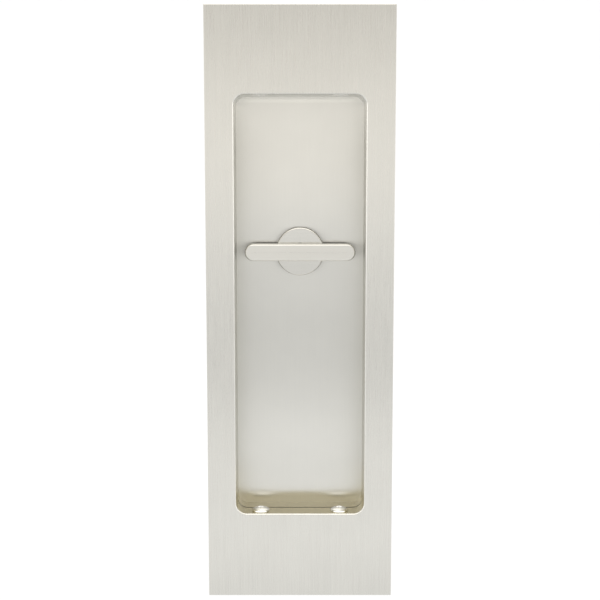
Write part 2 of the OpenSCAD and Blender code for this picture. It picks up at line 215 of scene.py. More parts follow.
def pick_edges(piece: bpy.types.Object, test: EdgeTest) -> None:
    """Opens a piece in edit mode with only the edges that pass a test selected.

    Args:
        piece: The piece.
        test: Takes an edge's two ends.
    """
    make_active(piece)
    bpy.context.tool_settings.mesh_select_mode = (False, True, False)
    mesh = piece.data
    ends = [vertex.co for vertex in mesh.vertices]
    chosen = [test(ends[edge.vertices[0]], ends[edge.vertices[1]]) for edge in mesh.edges]
    mesh.vertices.foreach_set("select", [False] * len(mesh.vertices))
    mesh.polygons.foreach_set("select", [False] * len(mesh.polygons))
    mesh.edges.foreach_set("select", chosen)
    bpy.ops.object.mode_set(mode="EDIT")


def bevel_edges(piece: bpy.types.Object, test: EdgeTest, width: float, segments: int) -> None:
    """Rounds the edges that pass a test.

    Args:
        piece: The piece.
        test: Takes an edge's two ends.
        width: How far the bevel reaches from the edge.
        segments: How many faces it has.
    """
    pick_edges(piece, test)
    bpy.ops.mesh.bevel(offset=width, segments=segments, profile=0.5, affect="EDGES",
                       clamp_overlap=False)
    bpy.ops.object.mode_set(mode="OBJECT")


def sink_face(piece: bpy.types.Object, test: FaceTest, border: float, move: Vector) -> None:
    """Insets the faces that pass a test and pushes the inner ones.

    Args:
        piece: The piece.
        test: Takes a face's middle and its normal.
        border: The width that stays around each face.
        move: How far the inner faces go.
    """
    pick_faces(piece, test)
    bpy.ops.mesh.inset(thickness=border, use_even_offset=True)
    bpy.ops.mesh.extrude_region_move(TRANSFORM_OT_translate={"value": move})
    bpy.ops.object.mode_set(mode="OBJECT")


def along(axis: Grain) -> EdgeTest:
    """Makes a test for the edges that run along one axis.

    Args:
        axis: The axis.

    Returns:
        A test of an edge's two ends.
    """
    others = [i for i in range(3) if i != axis.value]
    return lambda a, b: all(near(a[i], b[i]) for i in others)


def rounded_block(name: str, low: Vector, high: Vector, radius: float,
                  segments: int = 12) -> bpy.types.Object:
    """Adds a block whose four edges along Y are rounded.

    Args:
        name: The name of the piece.
        low: The lowest corner.
        high: The highest corner.
        radius: The radius of the four edges.
        segments: How many faces each of them has.

    Returns:
        The new piece.
    """
    piece = add_block(name, low, high)
    bevel_edges(piece, along(Grain.DEEP), radius, segments)
    return piece


def combine(piece: bpy.types.Object, tool: bpy.types.Object, operation: str) -> None:
    """Cuts a tool out of a piece or joins it on, and throws the tool away.

    Args:
        piece: The piece that stays.
        tool: The shape that is used up.
        operation: DIFFERENCE, UNION or INTERSECT.
    """
    make_active(piece)
    step = piece.modifiers.new("shape", "BOOLEAN")
    step.operation = operation
    step.solver = "EXACT"
    step.object = tool
    bpy.ops.object.modifier_apply(modifier=step.name)
    spare = tool.data
    bpy.data.objects.remove(tool)
    bpy.data.meshes.remove(spare)


def join(pieces: list[bpy.types.Object], name: str) -> bpy.types.Object:
    """Joins pieces into one.

    Args:
        pieces: The pieces, the first of which stays.
        name: The name of the joined piece.

    Returns:
        The joined piece.
    """
    make_active(pieces[0])
    for piece in pieces[1:]:
        piece.select_set(True)
    bpy.ops.object.join()
    return settle(pieces[0], name)


def copy_to(piece: bpy.types.Object, places: list[Matrix], name: str) -> bpy.types.Object:
    """Copies a piece to several places, each copy with its own mesh, and joins the copies.

    Args:
        piece: The piece, which is used up.
        places: Where the copies go.
        name: The name of the joined piece.

    Returns:
        The joined piece.
    """
    copies = []
    for place in places:
        make_active(piece)
        bpy.ops.object.duplicate(linked=False)
        twin = bpy.context.object
        twin.matrix_world = place
        copies.append(settle(twin, name))
    spare = piece.data
    bpy.data.objects.remove(piece)
    bpy.data.meshes.remove(spare)
    return join(copies, name)


def soften(piece: bpy.types.Object, width: float) -> None:
    """Breaks the sharp edges that are left and shades the piece.

    Args:
        piece: The piece.
        width: How far the broken edges reach, or 0 to leave them sharp.
    """
    make_active(piece)
    bpy.ops.object.mode_set(mode="EDIT")
    bpy.ops.mesh.select_all(action="SELECT")
    bpy.ops.mesh.remove_doubles(threshold=NEAR / 10)
    bpy.ops.mesh.normals_make_consistent(inside=False)
    bpy.ops.object.mode_set(mode="OBJECT")
    if width > 0.0:
        edges = piece.modifiers.new("edges", "BEVEL")
        edges.limit_method = "ANGLE"
        edges.angle_limit = SHARP
        edges.width = width
        edges.segments = 2
        bpy.ops.object.modifier_apply(modifier=edges.name)
    bpy.ops.object.shade_smooth_by_angle(angle=SHARP)
    normals = piece.modifiers.new("normals", "WEIGHTED_NORMAL")
    normals.keep_sharp = True
    normals.weight = 100
    bpy.ops.object.modifier_apply(modifier=normals.name)


def seat(piece: bpy.types.Object, body: Body, node: str) -> None:
    """Lets a finished piece stand for a node of the frame.

    Args:
        piece: The piece.
        body: The body that it moves with.
        node: The node that it stands for.
    """
    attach(piece, body.value)
    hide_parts(node)
    LOG.info("%s stands for %s: %d faces", piece.name, node, len(piece.data.polygons))


def fill_ramp(ramp: bpy.types.Node, stops: list[tuple[float, Colour]]) -> bpy.types.Node:
    """Fills a colour ramp.

    Args:
        ramp: The ramp's node.
        stops: Places from 0 to 1 in rising order, each with its colour.

    Returns:
        The same node.
    """
    elements = ramp.color_ramp.elements
    while len(elements) < len(stops):
        elements.new(1.0)
    for element, (place, colour) in zip(elements, stops):
        element.position = place
        element.color = (*colour, 1.0)
    return ramp


class Board:
    """A material's node board, which places and wires its nodes."""

    def __init__(self, name: str) -> None:
        """Makes a material with a bare metal shader.

        Args:
            name: The name of the material.
        """
        self.material = bpy.data.materials.new(name)
        self.material.use_nodes = True
        self.tree = self.material.node_tree
        self.shader = self.tree.nodes["Principled BSDF"]
        self.shader.inputs["Metallic"].default_value = 1.0

    def add(self, kind: str, **values: object) -> bpy.types.Node:
        """Adds a node and sets its inputs by name, with spaces written as underscores.

        Args:
            kind: The node's type.
            values: Numbers and vectors for its inputs.

        Returns:
            The new node.
        """
        node = self.tree.nodes.new(kind)
        for name, value in values.items():
            node.inputs[name.replace("_", " ")].default_value = value
        return node

    def wire(self, source: bpy.types.NodeSocket, target: bpy.types.NodeSocket) -> None:
        """Wires one socket to another."""
        self.tree.links.new(source, target)

    def noise(self, scale: Vector, detail: float = 2.0) -> bpy.types.NodeSocket:
        """Adds a noise on the piece's own coordinates.

        Args:
            scale: How many cells of the noise there are to a metre, along each axis.
            detail: How many finer layers it has.

        Returns:
            The noise's value, from about 0.3 to 0.7.
        """
        place = self.add("ShaderNodeTexCoord")
        size = self.add("ShaderNodeMapping", Scale=scale)
        cells = self.add("ShaderNodeTexNoise", Scale=1.0, Detail=detail, Roughness=0.55)
        self.wire(place.outputs["Object"], size.inputs["Vector"])
        self.wire(size.outputs["Vector"], cells.inputs["Vector"])
        return cells.outputs["Fac"]

    def remap(self, value: bpy.types.NodeSocket, low: float, high: float) -> bpy.types.NodeSocket:
        """Spreads a noise's usual range over another one.

        Args:
            value: The noise.
            low: What its low end becomes.
            high: What its high end becomes.

        Returns:
            The new value.
        """
        spread = self.add("ShaderNodeMapRange", From_Min=NOISE_LOW, From_Max=NOISE_HIGH, To_Min=low,
                          To_Max=high)
        self.wire(value, spread.inputs["Value"])
        return spread.outputs["Result"]

    def blend(self, value: bpy.types.NodeSocket, dark: Colour, light: Colour) -> bpy.types.NodeSocket:
        """Mixes two colours by a noise.

        Args:
            value: The noise.
            dark: The colour at its low end.
            light: The colour at its high end.

        Returns:
            The mixed colour.
        """
        ramp = fill_ramp(self.add("ShaderNodeValToRGB"), [(NOISE_LOW, dark), (NOISE_HIGH, light)])
        self.wire(value, ramp.inputs["Fac"])
        return ramp.outputs["Color"]

    def bump(self, height: bpy.types.NodeSocket, strength: float, edge: float = 0.0) -> None:
        """Raises the surface by a noise.

        Args:
            height: The noise.
            strength: How much of the bump shows.
            edge: The radius to which sharp edges look rounded, in metres.
        """
        relief = self.add("ShaderNodeBump", Strength=strength, Distance=RELIEF)
        if edge > 0.0:
            rounded = self.add("ShaderNodeBevel", Radius=edge)
            self.wire(rounded.outputs["Normal"], relief.inputs["Normal"])
        self.wire(height, relief.inputs["Height"])
        self.wire(relief.outputs["Normal"], self.shader.inputs["Normal"])

    def slope(self, start: float, stop: float, low: float, high: float) -> bpy.types.NodeSocket:
        """Adds a grey that changes evenly up the piece.

        Args:
            start: The height at which the change begins, in metres.
            stop: The height at which it ends, in metres.
            low: The grey at the start and below it.
            high: The grey at the stop and above it.

        Returns:
            The grey.
        """
        place = self.add("ShaderNodeTexCoord")
        axes = self.add("ShaderNodeSeparateXYZ")
        grey = self.add("ShaderNodeMapRange", From_Min=start, From_Max=stop, To_Min=low, To_Max=high)
        self.wire(place.outputs["Object"], axes.inputs["Vector"])
        self.wire(axes.outputs["Z"], grey.inputs["Value"])
        return grey.outputs["Result"]

    def multiply(self, first: bpy.types.NodeSocket, second: bpy.types.NodeSocket) -> bpy.types.NodeSocket:
        """Multiplies two colours.

        Args:
            first: The one colour.
            second: The other colour.

        Returns:
            Their product.
        """
        mix = self.add("ShaderNodeMix")
        mix.data_type = "RGBA"
        mix.blend_type = "MULTIPLY"
        mix.inputs["Factor"].default_value = 1.0
        self.wire(first, mix.inputs[6])
        self.wire(second, mix.inputs[7])
        return mix.outputs[2]


def scaled(colour: Colour, share: float) -> Colour:
    """A colour with all of its channels multiplied by a share."""
    return tuple(channel * share for channel in colour)


def shaded(colour: Colour, change: float) -> Colour:
    """A colour made lighter or darker by a share of itself."""
    return scaled(colour, 1.0 + change)


@dataclass(frozen=True)
class Brushed:
    """Metal brushed along one axis, with fine streaks, broad streaks and soft clouds.

    Going up, it may darken from the middle on as painted shade, and grow lighter again at the very top as
    painted light.
    """

    name: str
    colour: Colour
    grain: Grain
    roughness: float = 0.3
    streak_width: float = 0.16 * MM
    streak_length: float = 14.0 * MM
    contrast: float = 0.05
    cloud: float = 12.0 * MM
    cloud_contrast: float = 0.02
    anisotropy: float = 0.6
    gloss_spread: float = 0.06
    bump: float = 0.12
    edge: float = 0.0
    # Painted shade, darker going up, and painted light along the very top.
    upward_painted_shade: float = 0.0
    painted_shade_stop: float = 60.0 * MM
    painted_top_light: float = 0.0
    painted_light_start: float = 76.3 * MM
    painted_light_stop: float = 78.5 * MM

    def cells(self, width: float, length: float) -> Vector:
        """How many streaks there are to a metre.

        Args:
            width: The width of a streak.
            length: The length of a streak.

        Returns:
            The count along each axis.
        """
        scale = Vector((1.0 / width,) * 3)
        scale[self.grain.value] = 1.0 / length
        return scale

    def make(self) -> bpy.types.Material:
        """Wires the finish.

        Returns:
            The material.
        """
        board = Board(self.name)
        fine = board.noise(self.cells(self.streak_width, self.streak_length), detail=3.0)
        broad = board.noise(self.cells(5.0 * self.streak_width, 4.0 * self.streak_length))
        cloud = board.noise(Vector((1.0 / self.cloud,) * 3))
        streaks = board.blend(fine, shaded(self.colour, -self.contrast), shaded(self.colour, self.contrast))
        bands = board.blend(broad, shaded(WHITE, -self.contrast / 2), WHITE)
        clouds = board.blend(cloud, shaded(WHITE, -self.cloud_contrast), WHITE)
        tone = board.multiply(board.multiply(streaks, bands), clouds)
        # Painted shade: the tone darkens going up from the middle.
        if self.upward_painted_shade > 0.0:
            tone = board.multiply(tone, board.slope(0.0, self.painted_shade_stop, 1.0, 1.0 - self.upward_painted_shade))
        # Painted light: the tone grows lighter at the very top.
        if self.painted_top_light > 0.0:
            light = board.slope(self.painted_light_start, self.painted_light_stop, 1.0, 1.0 + self.painted_top_light)
            tone = board.multiply(tone, light)
        board.wire(tone, board.shader.inputs["Base Color"])
        rough = board.remap(fine, self.roughness - self.gloss_spread, self.roughness + self.gloss_spread)
        board.wire(rough, board.shader.inputs["Roughness"])
        board.shader.inputs["Anisotropic"].default_value = self.anisotropy
        lay = board.tree.nodes.new("ShaderNodeTangent")
        lay.direction_type = "RADIAL"
        lay.axis = "XYZ"[self.grain.value]
        board.wire(lay.outputs["Tangent"], board.shader.inputs["Tangent"])
        board.bump(fine, self.bump, self.edge)
        return board.material


@dataclass(frozen=True)
class Plated:
    """Plated or rolled metal, with clouds in its tone, fine specks and uneven gloss."""

    name: str
    colour: Colour
    roughness: float = 0.3
    cloud: float = 6.0 * MM
    contrast: float = 0.12
    speck: float = 0.35 * MM
    speck_contrast: float = 0.06
    gloss_spread: float = 0.08
    bump: float = 0.1
    edge: float = 0.0

    def make(self) -> bpy.types.Material:
        """Wires the finish.

        Returns:
            The material.
        """
        board = Board(self.name)
        cloud = board.noise(Vector((1.0 / self.cloud,) * 3), detail=4.0)
        speck = board.noise(Vector((1.0 / self.speck,) * 3))
        clouds = board.blend(cloud, shaded(self.colour, -self.contrast), shaded(self.colour, self.contrast))
        specks = board.blend(speck, shaded(WHITE, -self.speck_contrast), WHITE)
        board.wire(board.multiply(clouds, specks), board.shader.inputs["Base Color"])
        rough = board.remap(cloud, self.roughness - self.gloss_spread, self.roughness + self.gloss_spread)
        board.wire(rough, board.shader.inputs["Roughness"])
        board.bump(speck, self.bump, self.edge)
        return board.material


@dataclass(frozen=True)
class DrawnWall:
    """The drawn walls of the recess, plain along the sides, yellowish below, and pale above as painted
    light.
    """

    name: str
    low: Colour
    side: Colour
    # The top wall's pale tone is painted light.
    high: Colour
    start: float
    stop: float
    roughness: float = 0.36
    streak_width: float = 0.2 * MM
    streak_length: float = 4.0 * MM
    contrast: float = 0.06
    gloss_spread: float = 0.05
    bump: float = 0.15

    def make(self) -> bpy.types.Material:
        """Wires the finish.

        Returns:
            The material.
        """
        board = Board(self.name)
        height = board.slope(-self.stop, self.stop, 0.0, 1.0)
        change = (self.stop - self.start) / (2 * self.stop)
        # The ramp's top end paints light on the top wall.
        tone = fill_ramp(board.add("ShaderNodeValToRGB"), [(0.0, self.low), (change, self.side),
                                                           (1.0 - change, self.side), (1.0, self.high)])
        board.wire(height, tone.inputs["Fac"])
        across = 1.0 / self.streak_width
        draw = board.noise(Vector((across, 1.0 / self.streak_length, across)), detail=3.0)
        lines = board.blend(draw, shaded(WHITE, -self.contrast), shaded(WHITE, self.contrast))
        board.wire(board.multiply(tone.outputs["Color"], lines), board.shader.inputs["Base Color"])
        rough = board.remap(draw, self.roughness - self.gloss_spread, self.roughness + self.gloss_spread)
        board.wire(rough, board.shader.inputs["Roughness"])
        board.bump(draw, self.bump)
        return board.material


@dataclass(frozen=True)
class Turned:
    """Metal turned on a lathe about the turn's axis, with fine rings left by the tool."""

    name: str
    colour: Colour
    roughness: float = 0.26
    ring: float = 0.12 * MM
    cloud: float = 2.4 * MM
    contrast: float = 0.1
    polish: float = 0.08
    dullness: float = 0.1
    bump: float = 0.2
    edge: float = 0.0

    def make(self) -> bpy.types.Material:
        """Wires the finish.

        Returns:
            The material.
        """
        board = Board(self.name)
        rings = board.noise(Vector((0.0, 1.0 / self.ring, 0.0)))
        tarnish = board.noise(Vector((1.0 / self.cloud,) * 3), detail=4.0)
        tone = board.blend(rings, shaded(self.colour, -self.contrast), shaded(self.colour, self.contrast))
        stain = board.blend(tarnish, shaded(WHITE, -self.contrast), WHITE)
        board.wire(board.multiply(tone, stain), board.shader.inputs["Base Color"])
        rough = board.remap(tarnish, self.roughness - self.polish, self.roughness + self.dullness)
        board.wire(rough, board.shader.inputs["Roughness"])
        board.bump(rings, self.bump, self.edge)
        return board.material


def dress(piece: bpy.types.Object, material: bpy.types.Material) -> None:
    """Gives a piece one material all over.

    Args:
        piece: The piece or node.
        material: Its material.
    """
    piece.data.materials.clear()
    piece.data.materials.append(material)
    piece.data.polygons.foreach_set("material_index", [0] * len(piece.data.polygons))


@dataclass
class FlushTrim:
    """The plate with its recess: face plate, tray and the bright screws in the end walls."""

    satin: bpy.types.Material
    # The tray's finish carries painted shade going up and painted light along its top.
    tray: bpy.types.Material
    # The walls' drawn finish, with painted light on the top wall.
    drawn: bpy.types.Material
    # A paler finish for the mouth's side bevels, a painted highlight.
    cut: bpy.types.Material
    bright: bpy.types.Material
    wall: float = 2.0 * MM
    recess_radius: float = 4.0 * MM
    mouth_bevel: float = 0.6 * MM
    edge_bevel: float = 0.4 * MM
    floor_t: float = 1.5 * MM
    back_bevel: float = 0.4 * MM
    broken_edge: float = 0.15 * MM
    joint_gap: float = 0.5 * MM
    joint_depth: float = 1.2 * MM
    bush_radius: float = 5.5 * MM
    screw_gap: float = 30.0 * MM
    screw_depth: float = 4.0 * MM
    screw_hole: float = 1.6 * MM
    screw_radius: float = 1.5 * MM
    screw_length: float = 6.8 * MM
    head_radius: float = 3.3 * MM
    head_sink: float = 1.6 * MM
    head_edge: float = 0.3 * MM
    head_rise: float = 1.5 * MM
    head_break: float = 0.06 * MM
    drive: float = 2.3 * MM
    drive_depth: float = 0.9 * MM

    def recess(self) -> Corners:
        """The recess's walls in X and Z, with the cup's own depth in Y."""
        low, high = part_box("recess_cup")
        inset = Vector((self.wall, 0.0, self.wall))
        return low + inset, high - inset

    def build_plate(self) -> bpy.types.Object:
        """Models the face plate with its returned edges and its collar.

        Returns:
            The plate.
        """
        low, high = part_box("face_plate")
        cup_low, cup_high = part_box("recess_cup")
        inner_low, inner_high = self.recess()
        plate = add_block("flush_plate", low, Vector((high.x, 0.0, high.z)))
        back = Vector((0.0, low.y + self.wall, 0.0))
        sink_face(plate, lambda middle, normal: normal.y > FACING, self.wall, back)
        collar = rounded_block("collar", Vector((cup_low.x, low.y + self.wall / 2, cup_low.z)),
                               Vector((cup_high.x, high.y, cup_high.z)), self.recess_radius + self.wall)
        combine(plate, collar, "UNION")
        mouth = rounded_block("mouth", Vector((inner_low.x, low.y - self.wall, inner_low.z)),
                              Vector((inner_high.x, high.y + self.wall, inner_high.z)), self.recess_radius)
        combine(plate, mouth, "DIFFERENCE")
        for side in (-1, 1):
            for end in (inner_low.z, inner_high.z):
                combine(plate, self.countersink(side, end, low.y), "DIFFERENCE")

        def on_mouth(a: Vector, b: Vector) -> bool:
            """Whether an edge runs round the recess's front."""
            return all(near(p.y, low.y) and abs(p.x) < inner_high.x + NEAR and
                       abs(p.z) < inner_high.z + NEAR for p in (a, b))

        def on_rim(a: Vector, b: Vector) -> bool:
            """Whether an edge runs round the plate's front."""
            level = near(a.y, low.y) and near(b.y, low.y)
            upright = near(abs(a.x), high.x) and near(a.x, b.x)
            flat = near(abs(a.z), high.z) and near(a.z, b.z)
            return level and (upright or flat)

        bevel_edges(plate, on_mouth, self.mouth_bevel, 4)
        bevel_edges(plate, on_rim, self.edge_bevel, 3)
        soften(plate, self.broken_edge)
        dress(plate, self.satin)
        self.line_walls(plate, low.y + self.mouth_bevel)
        self.paint_mouth_highlight(plate)
        return plate

    def countersink(self, side: int, end: float, front: float) -> bpy.types.Object:
        """Models the space that a trim screw takes in an end wall.

        Args:
            side: -1 for the left screw and 1 for the right one.
            end: The height of the end wall.
            front: The depth of the plate's front.

        Returns:
            A tool to cut the wall with.
        """
        out = 1.0 if end > 0 else -1.0
        middle = Vector((side * self.screw_gap / 2, front + self.screw_depth, end))
        step = Vector((0.0, 0.0, out))
        hole = add_round("hole", (self.screw_hole, self.screw_hole), middle,
                         middle + step * 2 * self.wall)
        flare = self.head_radius - self.screw_radius
        sink = add_round("sink", (self.head_radius + flare + NEAR, self.screw_radius + NEAR),
                         middle - step * self.head_sink, middle + step * self.head_sink)
        combine(sink, hole, "UNION")
        return sink

    def build_cup(self) -> bpy.types.Object:
        """Models the tray: a block sunk to its floor, with the bush's bore and the joint round its front.

        Returns:
            The tray.
        """
        low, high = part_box("recess_cup")
        down = Vector((0.0, high.y - self.floor_t - low.y, 0.0))
        cup = rounded_block("recess_tray", low, high, self.recess_radius + self.wall)
        sink_face(cup, lambda middle, normal: normal.y < -FACING, self.wall, down)
        bevel_edges(cup, lambda a, b: near(a.y, high.y) and near(b.y, high.y), self.back_bevel, 3)
        bush_low, bush_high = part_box("turn_bush")
        middle = (bush_low + bush_high) / 2
        bore = add_round("bore", (self.bush_radius, self.bush_radius),
                         Vector((middle.x, low.y, middle.z)),
                         Vector((middle.x, high.y + self.wall, middle.z)), 64)
        combine(cup, bore, "DIFFERENCE")
        inner_low, inner_high = self.recess()
        reach = Vector((self.joint_depth, 0.0, self.joint_depth))
        joint = rounded_block("joint", Vector((inner_low.x, low.y - self.wall, inner_low.z)) - reach,
                              Vector((inner_high.x, low.y + self.joint_gap, inner_high.z)) + reach,
                              self.recess_radius + self.joint_depth)
        combine(cup, joint, "DIFFERENCE")
        soften(cup, 0.0)
        dress(cup, self.tray)
        self.line_walls(cup, low.y + self.joint_gap)
        return cup

    def line_walls(self, piece: bpy.types.Object, front: float) -> None:
        """Gives the walls round the recess their own drawn finish, with painted light on the top wall.

        Args:
            piece: The plate or the tray.
            front: The depth from which the walls run back.
        """
        low, high = self.recess()
        piece.data.materials.append(self.drawn)
        for face in piece.data.polygons:
            near_x = abs(face.center.x) < high.x + self.broken_edge
            near_z = abs(face.center.z) < high.z + self.broken_edge
            if near_x and near_z and face.center.y > front - NEAR and abs(face.normal.y) < 0.8:
                face.material_index = 1

    def paint_mouth_highlight(self, plate: bpy.types.Object) -> None:
        """Paints a highlight on the bevel down both sides of the recess: those faces get a paler finish.

        Args:
            plate: The plate.
        """
        high = self.recess()[1]
        plate.data.materials.append(self.cut)
        for face in plate.data.polygons:
            beside = abs(abs(face.center.x) - high.x) < 2 * self.mouth_bevel
            between = abs(face.center.z) < high.z and face.center.y < 0.0
            sloped = 0.05 < -face.normal.y < 0.98 and abs(face.normal.x) > 0.2
            # The side bevel faces take the painted highlight.
            if beside and between and sloped:
                face.material_index = 2

    def build_screw(self, rise: float) -> bpy.types.Object:
        """Models one trim screw, head up: shank, countersunk neck, domed or flush head and its socket.

        Args:
            rise: The height of the dome above the wall, 0 for a flush head.

        Returns:
            The screw, with the wall's face at the origin.
        """
        steps = [math.radians(angle) for angle in range(0, 90, 10)] if rise > 0.0 else []
        rings = [(self.screw_radius * POINT_SHARE, -self.screw_length),
                 (self.screw_radius, self.head_edge - self.screw_length),
                 (self.screw_radius, -self.head_sink), (self.head_radius, 0.0)]
        rings += [(self.head_radius * math.cos(a), self.head_edge + (rise - self.head_edge) * math.sin(a))
                  for a in steps]
        screw = stack_rings("trim_screw", rings, 64)
        deep = Vector((0.0, 0.0, self.drive_depth))
        top = Vector((0.0, 0.0, rise))
        socket = add_round("socket", (self.drive / 2, self.drive / 2), top - deep, top + deep, 6)
        combine(screw, socket, "DIFFERENCE")
        soften(screw, self.head_break)
        dress(screw, self.bright)
        return screw

    def build_screws(self, name: str, end: float, rise: float) -> bpy.types.Object:
        """Copies the trim screw to both sides of an end wall.

        Args:
            name: The name of the pair.
            end: The height of the end wall.
            rise: The height of the screws' heads above the wall.

        Returns:
            The pair.
        """
        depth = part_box("face_plate")[0].y + self.screw_depth
        face = Matrix.Rotation(math.pi if end > 0 else 0.0, 4, "X")
        places = [Matrix.Translation((side * self.screw_gap / 2, depth, end)) @ face for side in (-1, 1)]
        return copy_to(self.build_screw(rise), places, name)

    def build(self) -> None:
        """Models the plate, the tray and the screws and seats them."""
        low, high = self.recess()
        seat(self.build_plate(), Body.LOCKSET, "face_plate")
        seat(self.build_cup(), Body.LOCKSET, "recess_cup")
        lower = self.build_screws("lower_screws", low.z, self.head_rise)
        upper = self.build_screws("upper_screws", high.z, 0.0)
        seat(lower, Body.LOCKSET, "lower_trim_screws")
        seat(upper, Body.LOCKSET, "upper_trim_screws")


@dataclass
class ThumbTurn:
    """The bar that is gripped and the disc behind it."""

    satin: bpy.types.Material
    fine: bpy.types.Material
    # A near-black finish painted as shade on faces turned to the panel.
    back: bpy.types.Material
    bar_bevel: float = 0.7 * MM
    round_share: float = 0.999
    disc_bevel: float = 0.6 * MM
    disc_hollow: float = 8.0 * MM
    disc_web: float = 0.9 * MM
    pin_radius: float = 0.77 * MM
    broken_edge: float = 0.08 * MM

    def build_bar(self) -> bpy.types.Object:
        """Models the bar: round ends, bevelled front and back, and the hole of its cross pin.

        Returns:
            The bar.
        """
        low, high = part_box("turn_bar")
        half = (high.z - low.z) / 2
        bar = rounded_block("turn_grip", low, high, half * self.round_share, 16)
        bevel_edges(bar, lambda a, b: near(a.y, low.y) and near(b.y, low.y), self.bar_bevel, 4)
        bevel_edges(bar, lambda a, b: near(a.y, high.y) and near(b.y, high.y), self.bar_bevel, 3)
        pin_low, pin_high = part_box("bar_pin")
        middle = (pin_low + pin_high) / 2
        reach = Vector((0.0, 0.0, 2 * half))
        hole = add_round("pin_hole", (self.pin_radius, self.pin_radius), middle - reach, middle + reach, 32)
        combine(bar, hole, "DIFFERENCE")
        soften(bar, self.broken_edge)
        dress(bar, self.satin)
        # Painted shade: the bar's back and rear bevel, turned to the panel, are near black.
        self.paint_shade(bar, lambda face, normal: normal.y > 0.3)
        return bar

    def build_disc(self) -> bpy.types.Object:
        """Models the disc: a bevelled front rim and a hollow back.

        Returns:
            The disc.
        """
        low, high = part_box("turn_disc")
        middle = (low + high) / 2
        radius = (high.x - low.x) / 2
        disc = add_round("turn_rose", (radius, radius), Vector((middle.x, high.y, middle.z)),
                         Vector((middle.x, low.y, middle.z)), 96)
        bevel_edges(disc, lambda a, b: near(a.y, low.y) and near(b.y, low.y), self.disc_bevel, 4)
        sink_face(disc, lambda face, normal: normal.y > FACING, radius - self.disc_hollow,
                  Vector((0.0, -self.disc_web, 0.0)))
        soften(disc, self.broken_edge)
        dress(disc, self.fine)
        # Painted shade: the disc's sides are near black.
        self.paint_shade(disc, lambda face, normal: abs(normal.y) < 0.1)
        return disc

    def paint_shade(self, piece: bpy.types.Object, test: FaceTest) -> None:
        """Paints shade on the faces that pass a test, with the near-black finish.

        Args:
            piece: The bar or the disc.
            test: Takes a face's middle and its normal.
        """
        piece.data.materials.append(self.back)
        for face in piece.data.polygons:
            if test(face.center, face.normal):
                face.material_index = 1

    def build(self) -> None:
        """Models the bar and the disc and seats them."""
        seat(self.build_bar(), Body.TURN, "turn_bar")
        seat(self.build_disc(), Body.TURN, "turn_disc")


